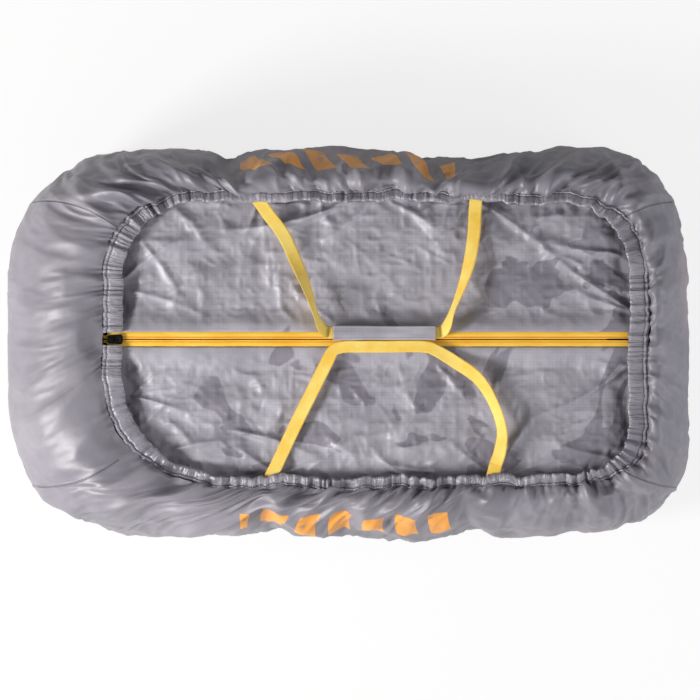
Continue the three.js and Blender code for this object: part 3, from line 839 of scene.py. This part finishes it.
# ---- Ripstop top ----
PANEL_EDGE = 0.0098  # from the zip's centre line to the folded edge of each half
PANEL_THICK, TAPE_THICK, WRAP_THICK, FLAP_THICK = 0.0005, 0.0006, 0.0006, 0.0008
CALM = (0.012, 0.040)  # distances from the zip between which the cloth starts to crumple
HOLLOW, SUNK = 0.0062, 0.0065  # how far the cloth lies below the zip, and further along the hem
TOP_SWELL, TOP_CRUMPLE, FACETS = 0.0026, 0.0026, 0.0065
# Long folds, drawn tight from the hem or the straps: x, y, x, y, height.
LONG_FOLDS = (
    (0.368, 0.049, 0.215, 0.176, 0.0065),
    (0.368, 0.045, 0.270, 0.090, 0.0050),
    (0.364, -0.034, 0.222, -0.105, 0.0060),
    (0.366, -0.028, 0.290, -0.012, 0.0040),
    (0.345, -0.150, 0.250, -0.118, 0.0055),
    (0.178, 0.184, 0.300, 0.080, 0.0060),
    (0.160, 0.184, 0.090, 0.110, 0.0050),
    (0.185, 0.183, 0.240, 0.150, 0.0040),
    (-0.112, 0.184, -0.030, 0.178, 0.0055),
    (-0.120, 0.182, -0.150, 0.120, 0.0050),
    (-0.006, 0.188, -0.150, 0.140, 0.0065),
    (0.030, 0.188, -0.060, 0.120, 0.0050),
    (0.060, 0.186, 0.140, 0.130, 0.0045),
    (-0.285, 0.070, -0.160, 0.020, 0.0040),
    (-0.290, 0.090, -0.190, 0.150, 0.0045),
    (-0.268, 0.130, -0.210, 0.040, 0.0045),
    (-0.280, -0.070, -0.180, -0.110, 0.0050),
    (-0.262, -0.100, -0.150, -0.020, 0.0040),
    (-0.230, -0.140, -0.120, -0.128, 0.0055),
    (-0.090, -0.172, -0.160, -0.120, 0.0055),
    (-0.085, -0.172, 0.000, -0.150, 0.0060),
    (-0.060, -0.174, 0.040, -0.110, 0.0045),
    (0.075, -0.176, 0.020, -0.120, 0.0055),
    (0.090, -0.176, 0.160, -0.130, 0.0045),
    (0.198, -0.172, 0.260, -0.080, 0.0055),
    (0.190, -0.172, 0.120, -0.110, 0.0050),
    (0.215, -0.173, 0.300, -0.150, 0.0050),
    (0.120, -0.030, 0.170, -0.100, 0.0040),
    (-0.020, 0.030, -0.090, 0.100, 0.0035),
    (0.120, 0.030, 0.180, 0.060, 0.0035),
    (-0.020, 0.178, -0.200, 0.150, 0.0085),
    (-0.140, -0.116, -0.020, -0.162, 0.0075),
    (0.110, -0.168, 0.000, -0.140, 0.0070),
    (0.366, -0.010, 0.250, 0.030, 0.0050),
    (0.350, 0.120, 0.220, 0.150, 0.0055),
)


def small_creases(seed, count):
    r = np.random.default_rng(seed)
    lines = []
    for _ in range(count):
        x, y = r.uniform(-0.31, 0.38), r.uniform(-0.17, 0.18)
        turn, long = r.uniform(0, 2 * math.pi), r.uniform(0.018, 0.075)
        end = (x + long * math.cos(turn), y + long * math.sin(turn))
        lines.append((x, y, *end, r.uniform(-0.0012, 0.0017)))
    return lines


def border_y(outline, x, side):
    """Where an outline crosses x, on its back or front side."""
    y = np.full_like(x, outline[1][1] if side > 0 else outline[1][0])
    for k in ((2, 3) if side > 0 else (0, 1)):
        cx, cy, r = corner(outline, k)
        past = (x < cx) if k in (0, 3) else (x > cx)
        rise = np.sqrt(np.clip(r**2 - (x - cx) ** 2, 0, None))
        y = np.where(past, cy + side * rise, y)
    return y


def panel_drop(x, y):
    """How far the ripstop lies below the top of its CAD solid."""
    inside = np.minimum.reduce([y - MOUTH[1][0], MOUTH[1][1] - y, x - MOUTH[0][0], MOUTH[0][1] - x])
    lines = creases(x, y, LONG_FOLDS, 0.0065)
    small = creases(x, y, small_creases(21, 260), 0.0038)
    swell = cloth_noise(x * 14, y * 16, 22) + 0.5 * cloth_noise(x * 31, y * 33, 23)
    crumple = np.abs(cloth_noise(x * 60, y * 62, 24))
    crumple = crumple + 0.5 * np.abs(cloth_noise(x * 130, y * 128, 25))
    facets = np.abs(cloth_noise(x * 17 + 0.8 * swell, y * 19, 27))
    height = 1.3 * lines + 1.5 * small + TOP_SWELL * swell - TOP_CRUMPLE * crumple
    height = height - FACETS * (facets - 0.35)
    calm = step_up(np.abs(y - ZIP_Y), *CALM)
    puckers = 0.0008 * lattice_noise(x * 95 + 50, 0 * y, 26)
    height = height * calm + (0.0007 + puckers) * (1 - calm)
    sunk = SUNK * (1 - step_up(inside, -0.004, 0.030)) * step_up(inside, -0.04, -0.004)
    drop = (HOLLOW + sunk) * calm - height
    return np.clip(0.5 * (drop + np.sqrt(drop**2 + 0.0015**2)), 0.0002, 0.016)


def open_like_lips(piece):
    """Bakes a piece's placement into its mesh and reads its points; it does not bend the piece."""
    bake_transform(piece)
    at = np.zeros(len(piece.data.vertices) * 3, np.float32)
    piece.data.vertices.foreach_get("co", at)
    return piece


def make_panel_half(name, side, material, nodes):
    border = grown(MOUTH, HEM_WIDTH)
    x = np.linspace(border[0][0] + 0.0005, border[0][1] - 0.0005, 330)
    outer = border_y(border, x, side)
    inner = ZIP_Y + side * PANEL_EDGE
    t = np.linspace(0, 1, 100)[:, None]
    y = inner + (outer - inner)[None, :] * t
    xs = np.broadcast_to(x[None, :], y.shape)
    z = PANEL_TOP - panel_drop(xs, y)
    edge = np.abs(y - ZIP_Y) - PANEL_EDGE
    z = np.minimum(z, PANEL_TOP - 0.0001) - 0.0004 * (1 - step_up(edge, 0.0, 0.0016))
    points = dents(np.stack([xs, y, z], -1))
    if side < 0:
        points = points[:, ::-1]
    piece = grid_mesh(name, points, points[..., :2] + 1.0)
    thicken(piece, PANEL_THICK)
    finish_piece(piece, material, "ripstop", *nodes)
    return open_like_lips(piece)


# ---- Zip ----
TAPE = (
    # distance from the zip's centre line, height
    (0.0003, 0.2237),
    (0.0008, 0.2243),
    (0.0016, 0.2247),
    (0.0025, 0.2245),
    (0.0031, 0.2239),
    (0.0038, 0.2243),
    (0.0065, 0.2245),
    (0.0090, 0.2241),
    (0.0150, 0.2222),
)
ZIP_ENDS = (-0.322, 0.388)
SLIDER_STOPS = ((-0.302, -0.298), (0.340, 0.344))  # beyond these the slider holds the halves apart
TUCKED = (-0.319, -0.313)  # the tape is narrow up to here, under the hem
TAPE_NARROW, APART = 0.0042, 0.0009
COIL_OUT, COIL_Z, COIL_PITCH = 0.0019, 0.2224, 0.0013


def make_tape(name, side, material, nodes):
    x = np.linspace(*ZIP_ENDS, 420)
    t = np.linspace(0, len(TAPE) - 1, 33)
    section = smooth_through(TAPE, t)
    wave = 0.0002 * lattice_noise(x * 22 + 50, 0 * x, 31)
    # The halves part a little where the slider stands, and narrow where they pass under the hem.
    apart = APART * (1 - step_up(x, *SLIDER_STOPS[0])) + APART * step_up(x, *SLIDER_STOPS[1])
    tuck = step_up(x, *TUCKED)
    rows = []
    for d, z in section:
        d = d * tuck + TAPE_NARROW * (1 - tuck) if d > TAPE_NARROW else d + 0 * x
        d = np.maximum(d, 0.0003 + apart)
        lift = 0.0003 * lattice_noise(x * 60 + 50, d * 200, 33)
        rows.append(np.column_stack([x, ZIP_Y + side * d + wave, z + lift * step_up(d, 0.003, 0.008)]))
    points = np.array(rows)
    uv = np.stack(np.broadcast_arrays(section[:, :1], x[None, :] + 1.0), -1)
    if side < 0:
        points, uv = points[:, ::-1], uv[:, ::-1]
    piece = thicken(grid_mesh(name, points, uv), TAPE_THICK)
    finish_piece(piece, material, "zip_yellow", *nodes)
    return open_like_lips(piece)


def make_coil(name, side, material, nodes):
    """A spiral coil under the tape, drawn as a ribbed rod."""
    x = np.arange(ZIP_ENDS[0] + 0.003, ZIP_ENDS[1] - 0.003, 0.00045)
    rib = 1 + 0.16 * np.cos(2 * math.pi * x / COIL_PITCH)
    rows = []
    for a in np.linspace(0, 2 * math.pi, 9)[:-1]:
        y = ZIP_Y + side * (COIL_OUT + 0.0010 * math.cos(a) * rib)
        z = COIL_Z + 0.00095 * math.sin(a) * rib
        rows.append(np.column_stack([x, y, z]))
    points = np.array(rows).transpose(1, 0, 2)
    if side > 0:
        points = points[:, ::-1]
    piece = grid_mesh(name, points, points[..., :2], wrap=True)
    finish_piece(piece, material, "zip_yellow", *nodes)
    return open_like_lips(piece)


# ---- Webbing ----
WEB_BOTTOM = PANEL_TOP + 0.0004
FLAT_Z = WEB_BOTTOM + WEBBING_THICK / 2
ARCH = 0.2306  # underside of the loops where the slider passes
FRONT_HELD_Z = ARCH + WEBBING_THICK / 2
BACK_HELD_Z = ARCH + 0.0011 + WEBBING_THICK / 2
BACK_CREASE, FRONT_CREASE = BACK_FOLD - LOOP_INSET, FRONT_FOLD + LOOP_INSET
GRIP_WIDE = 0.0156
FEET = (("back", 1, BACK_FEET, (-0.70, 0.06)), ("front", -1, FRONT_FEET, (-0.50, -0.25)))


def ribbon(name, knots, material, *nodes):
    """Webbing through knots (x, y, z, degrees of turn, width), with rounded edges."""
    steps = 14 * (len(knots) - 1)
    path = smooth_through(knots, np.linspace(0, len(knots) - 1, steps + 1))
    place = path[:, :3].copy()
    turn = np.radians(path[:, 3])
    wide = path[:, 4]
    place[:, 2] += wide / 2 * np.abs(np.sin(turn))
    ahead = np.gradient(place, axis=0)
    ahead /= np.linalg.norm(ahead, axis=1, keepdims=True)
    flat = np.column_stack([-ahead[:, 1], ahead[:, 0], 0 * turn])
    flat /= np.linalg.norm(flat, axis=1, keepdims=True)
    lift = np.cross(ahead, flat)
    across = flat * np.cos(turn)[:, None] + lift * np.sin(turn)[:, None]
    through = np.cross(across, ahead)
    run = np.concatenate([[0], np.cumsum(np.linalg.norm(np.diff(place, axis=0), axis=1))])
    half = WEBBING_THICK / 2
    section = [(s, 1.0) for s in np.linspace(-0.96, 0.96, 9)] + [(1.0, 0.4), (1.0, -0.4)]
    section += [(s, -1.0) for s in np.linspace(0.96, -0.96, 9)] + [(-1.0, -0.4), (-1.0, 0.4)]
    rows, uv = [], []
    for s, h in section:
        cup = 0.00025 * (1 - s * s)
        rows.append(place + across * (s * wide / 2)[:, None] + through * (h * half * 0.8 + cup))
        uv.append(np.column_stack([s * wide / 2, run]))
    points = np.array(rows).transpose(1, 0, 2)
    piece = grid_mesh(name, points, np.array(uv).transpose(1, 0, 2), wrap=True)
    return finish_piece(piece, material, "webbing", *nodes)


def knot(x, y, z, turn=0, wide=WEBBING):
    return (x, y, z, turn, wide)


def make_back_loop(material):
    f, h = FLAT_Z, BACK_HELD_Z
    knots = [
        knot(BACK_FEET[0], BACK_CREASE, f),
        knot(-0.084, 0.143, f + 0.001, -6),
        knot(-0.066, 0.104, f + 0.002, -22),
        knot(-0.052, 0.070, f + 0.003, -50),
        knot(-0.042, 0.040, h, -66),
        knot(GRIP[0] - 0.013, 0.021, h, -40),
        knot(GRIP[0] - 0.004, 0.0152, h, 0, GRIP_WIDE),
        knot(GRIP[0] + 0.012, 0.015, h, 0, GRIP_WIDE),
        knot(0.0485, 0.015, h, 0, GRIP_WIDE),
        knot(GRIP[1] - 0.012, 0.015, h, 0, GRIP_WIDE),
        knot(GRIP[1] + 0.004, 0.0152, h, 0, GRIP_WIDE),
        knot(GRIP[1] + 0.013, 0.023, h, -40),
        knot(0.138, 0.044, h, -66),
        knot(0.150, 0.074, f + 0.003, -52),
        knot(0.160, 0.106, f + 0.002, -26),
        knot(0.166, 0.142, f + 0.001, -8),
        knot(BACK_FEET[1], BACK_CREASE, f),
    ]
    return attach(ribbon("back_loop_skin", knots, material, "back_loop_webbing"), "back_loop")


def make_front_loop(material):
    f, h = FLAT_Z, FRONT_HELD_Z
    knots = [
        knot(FRONT_FEET[0], FRONT_CREASE, f),
        knot(-0.069, -0.108, f + 0.001),
        knot(-0.043, -0.056, f + 0.003),
        knot(-0.027, -0.024, h),
        knot(-0.018, -0.0085, h, 0, GRIP_WIDE),
        knot(-0.004, -0.0040, h, 0, GRIP_WIDE),
        knot(0.016, -0.0036, h, 0, GRIP_WIDE),
        knot(0.0485, -0.0036, h, 0, GRIP_WIDE),
        knot(GRIP[1] - 0.018, -0.0036, h, 0, GRIP_WIDE),
        knot(GRIP[1], -0.009, h, 0, GRIP_WIDE),
        knot(0.142, -0.024, h - 0.001, 8),
        knot(0.172, -0.046, f + 0.003, 25),
        knot(0.192, -0.078, f + 0.002, 40),
        knot(0.203, -0.112, f + 0.001, 40),
        knot(0.201, -0.140, f, 20),
        knot(FRONT_FEET[1], FRONT_CREASE, f),
    ]
    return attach(ribbon("front_loop_skin", knots, material, "front_loop_webbing"), "front_loop")


def make_strap_foot(name, x, lean, side, material):
    """The sewn end of a leg, from the crease of its loop to well under the hem."""
    crease = BACK_CREASE if side > 0 else FRONT_CREASE
    knots = [knot(x + lean * d, crease + side * d, FLAT_Z) for d in (0.0, 0.008, 0.018, 0.030)]
    nodes = (f"{name}_strap_root", f"{name}_strap_anchor")
    piece = ribbon(f"{name}_strap_foot", knots, material, *nodes)
    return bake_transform(piece)


# ---- Grip wrap ----
WRAP_X = (GRIP[0] + 0.001, GRIP[1] - 0.001)
WRAP_Y = (0.0056, 0.0238)
WRAP_Z = (0.2306, 0.2368)


def make_wrap(material):
    """A flat tube of cloth round the webbing, a little crushed, open at both ends."""
    x = np.linspace(*WRAP_X, 80)
    cy, cz = sum(WRAP_Y) / 2, sum(WRAP_Z) / 2 - 0.0004
    hy, hz = (WRAP_Y[1] - WRAP_Y[0]) / 2, (WRAP_Z[1] - WRAP_Z[0]) / 2 - 0.0006
    rows = []
    for a in np.linspace(0, 2 * math.pi, 33)[:-1]:
        c, s = math.cos(a), math.sin(a)
        flatten = 1 / (abs(c) ** 6 + abs(s) ** 6) ** (1 / 6)
        crush = 1 - 0.10 * np.abs(lattice_noise(x * 60 + 50, np.full_like(x, a), 71))
        y = cy + hy * 0.97 * c * flatten * crush
        z = cz + hz * s * flatten * crush
        rows.append(np.column_stack([x, y, z]))
    points = np.array(rows).transpose(1, 0, 2)[:, ::-1]
    uv = np.stack(np.broadcast_arrays(np.linspace(0, 0.05, 32)[None, :], x[:, None] + 1), -1)
    piece = thicken(grid_mesh("grip_wrap_skin", points, uv, wrap=True), WRAP_THICK)
    finish_piece(piece, material, "ripstop", "grip_wrap")
    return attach(piece, "back_loop")


def make_wrap_flap(material, lowest):
    """The flap that laps over the wrap: crowned cloth with a turned edge along the front."""
    x = np.linspace(*WRAP_X, 110)
    v = np.linspace(0, 1, 26)[:, None]
    y = WRAP_Y[0] - 0.0006 + (WRAP_Y[1] - WRAP_Y[0] + 0.0008) * v + 0 * x[None, :]
    crown = 0.0007 * np.sin(math.pi * v)
    pucker = 0.0005 * cloth_noise(x[None, :] * 55, y * 150, 72) * np.sin(math.pi * v)
    hem = 0.0006 * np.exp(-(((v - 0.10) / 0.05) ** 2)) + 0.0004 * np.exp(-(((v - 0.92) / 0.05) ** 2))
    z = lowest + 0.0010 + crown + pucker + hem - 0.0010 * step_up(0.06 - v, 0, 0.06)
    y = y + 0.0006 * lattice_noise(x[None, :] * 35 + 50, v + 0 * x, 73)
    points = np.stack([x[None, :] + 0 * y, y, z], -1)
    piece = thicken(grid_mesh("grip_flap_skin", points, points[..., :2] + 1), FLAP_THICK)
    finish_piece(piece, material, "ripstop", "grip_flap")
    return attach(piece, "wrap_flap")


# ---- Lights and floor ----
def area_light(name, place, size, power, color):
    data = bpy.data.lights.new(name, "AREA")
    data.size, data.energy, data.color = size, power, color
    lamp = add_object(name, data)
    lamp.location = place
    lamp.rotation_euler = (-Vector(place) + Vector((0, 0, 0.15))).to_track_quat("-Z", "Y").to_euler()


def make_world():
    """Bright at the two ends of the sack and dim above it, so shiny folds have something to reflect."""
    scene.world = bpy.data.worlds.new("studio")
    n = Nodes("studio", scene.world)
    x, y, _ = n.axes(n.add("ShaderNodeTexCoord").outputs["Generated"])
    level = n.math("MULTIPLY_ADD", y, -0.60, n.math("ABSOLUTE", x))
    light = n.add("ShaderNodeMapRange", Value=level, i1=0.0, i2=0.9, i3=0.08, i4=0.66)
    n.set(n.shader, "Strength", light.outputs[0])
    n.set(n.shader, "Color", (1, 1, 1, 1))


def make_studio():
    area_light("key", (-2.2, -0.8, 1.5), 0.7, 82, (1, 0.98, 0.96))
    area_light("fill", (2.2, -0.5, 1.2), 1.2, 21, (0.96, 0.97, 1))
    make_world()
    n = Nodes("floor_paint")
    tree = n.tree
    ray = n.add("ShaderNodeLightPath")
    seen = n.times(ray.outputs["Is Camera Ray"], 0.80)
    n.shader.inputs["Base Color"].default_value = (0.86, 0.86, 0.86, 1)
    n.shader.inputs["Roughness"].default_value = 0.9
    glow = n.add("ShaderNodeEmission")
    glow.inputs[1].default_value = 1.0
    blend = n.add("ShaderNodeMixShader", i0=seen, i1=n.shader.outputs[0], i2=glow.outputs[0])
    tree.links.new(blend.outputs[0], tree.nodes["Material Output"].inputs[0])
    mesh = bpy.data.meshes.new("floor")
    s = 30
    mesh.from_pydata([(-s, -s, 0), (s, -s, 0), (s, s, 0), (-s, s, 0)], [], [(0, 1, 2, 3)])
    mesh.materials.append(n.owner)
    add_object("floor", mesh)


def dress_node(name, material):
    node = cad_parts[name]
    node.data.materials.clear()
    node.data.materials.append(material)


def build_sack():
    shell_cloth = taffeta("taffeta", printed=True)
    plain_shell = taffeta("taffeta_plain")
    hem_cloth = hem_material("hem_taffeta")
    rip = ripstop("ripstop_grey")
    tape = tape_material("zip_tape")
    coil = coil_material("zip_coil")
    webbing = webbing_material("yellow_webbing")
    _, marks = make_shell(shell_cloth)
    make_casing(hem_cloth, marks)
    weave = plain_cloth("elastic_weave", srgb(196, 196, 190), srgb(226, 226, 220), 0.0012, 0.8)
    make_elastic(weave, marks)
    make_base(plain_shell)
    make_panel_half("back_top_skin", 1, rip, ["back_flap_panel", "top_border"])
    make_panel_half("front_top_skin", -1, rip, ["front_flap_panel"])
    for name, side in (("back", 1), ("front", -1)):
        parts = ("zip_tape", "tape_head", "tape_tail")
        make_tape(f"{name}_tape_skin", side, tape, [f"{name}_{part}" for part in parts])
        parts = ("zip_coil", "coil_head", "coil_tail")
        make_coil(f"{name}_coil_skin", side, coil, [f"{name}_{part}" for part in parts])
        dress_node(f"{name}_top_stop", coil)
    dress_node("bottom_stop", coil)
    make_back_loop(webbing)
    make_front_loop(webbing)
    for name, side, feet, leans in FEET:
        for end, x, lean in zip(("left", "right"), feet, leans):
            make_strap_foot(f"{name}_{end}", x, lean, side, webbing)
    wrap_cloth = ripstop("ripstop_wrap", painted_shade=0.0)
    make_wrap(wrap_cloth)
    make_wrap_flap(wrap_cloth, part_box("grip_flap")[0][2])
    metal = black_metal("slider_enamel")
    dress_node("slider_body", metal)
    dress_node("pull_tab", metal)
    hook = plain_cloth("hook_tape", srgb(52, 52, 58), srgb(84, 84, 92), 0.0014, 0.9)
    dress_node("hook_strip", hook)
    dress_node("loop_strip", hook)


make_camera()
make_studio()
build_sack()
scene.view_settings.view_transform = "Standard"
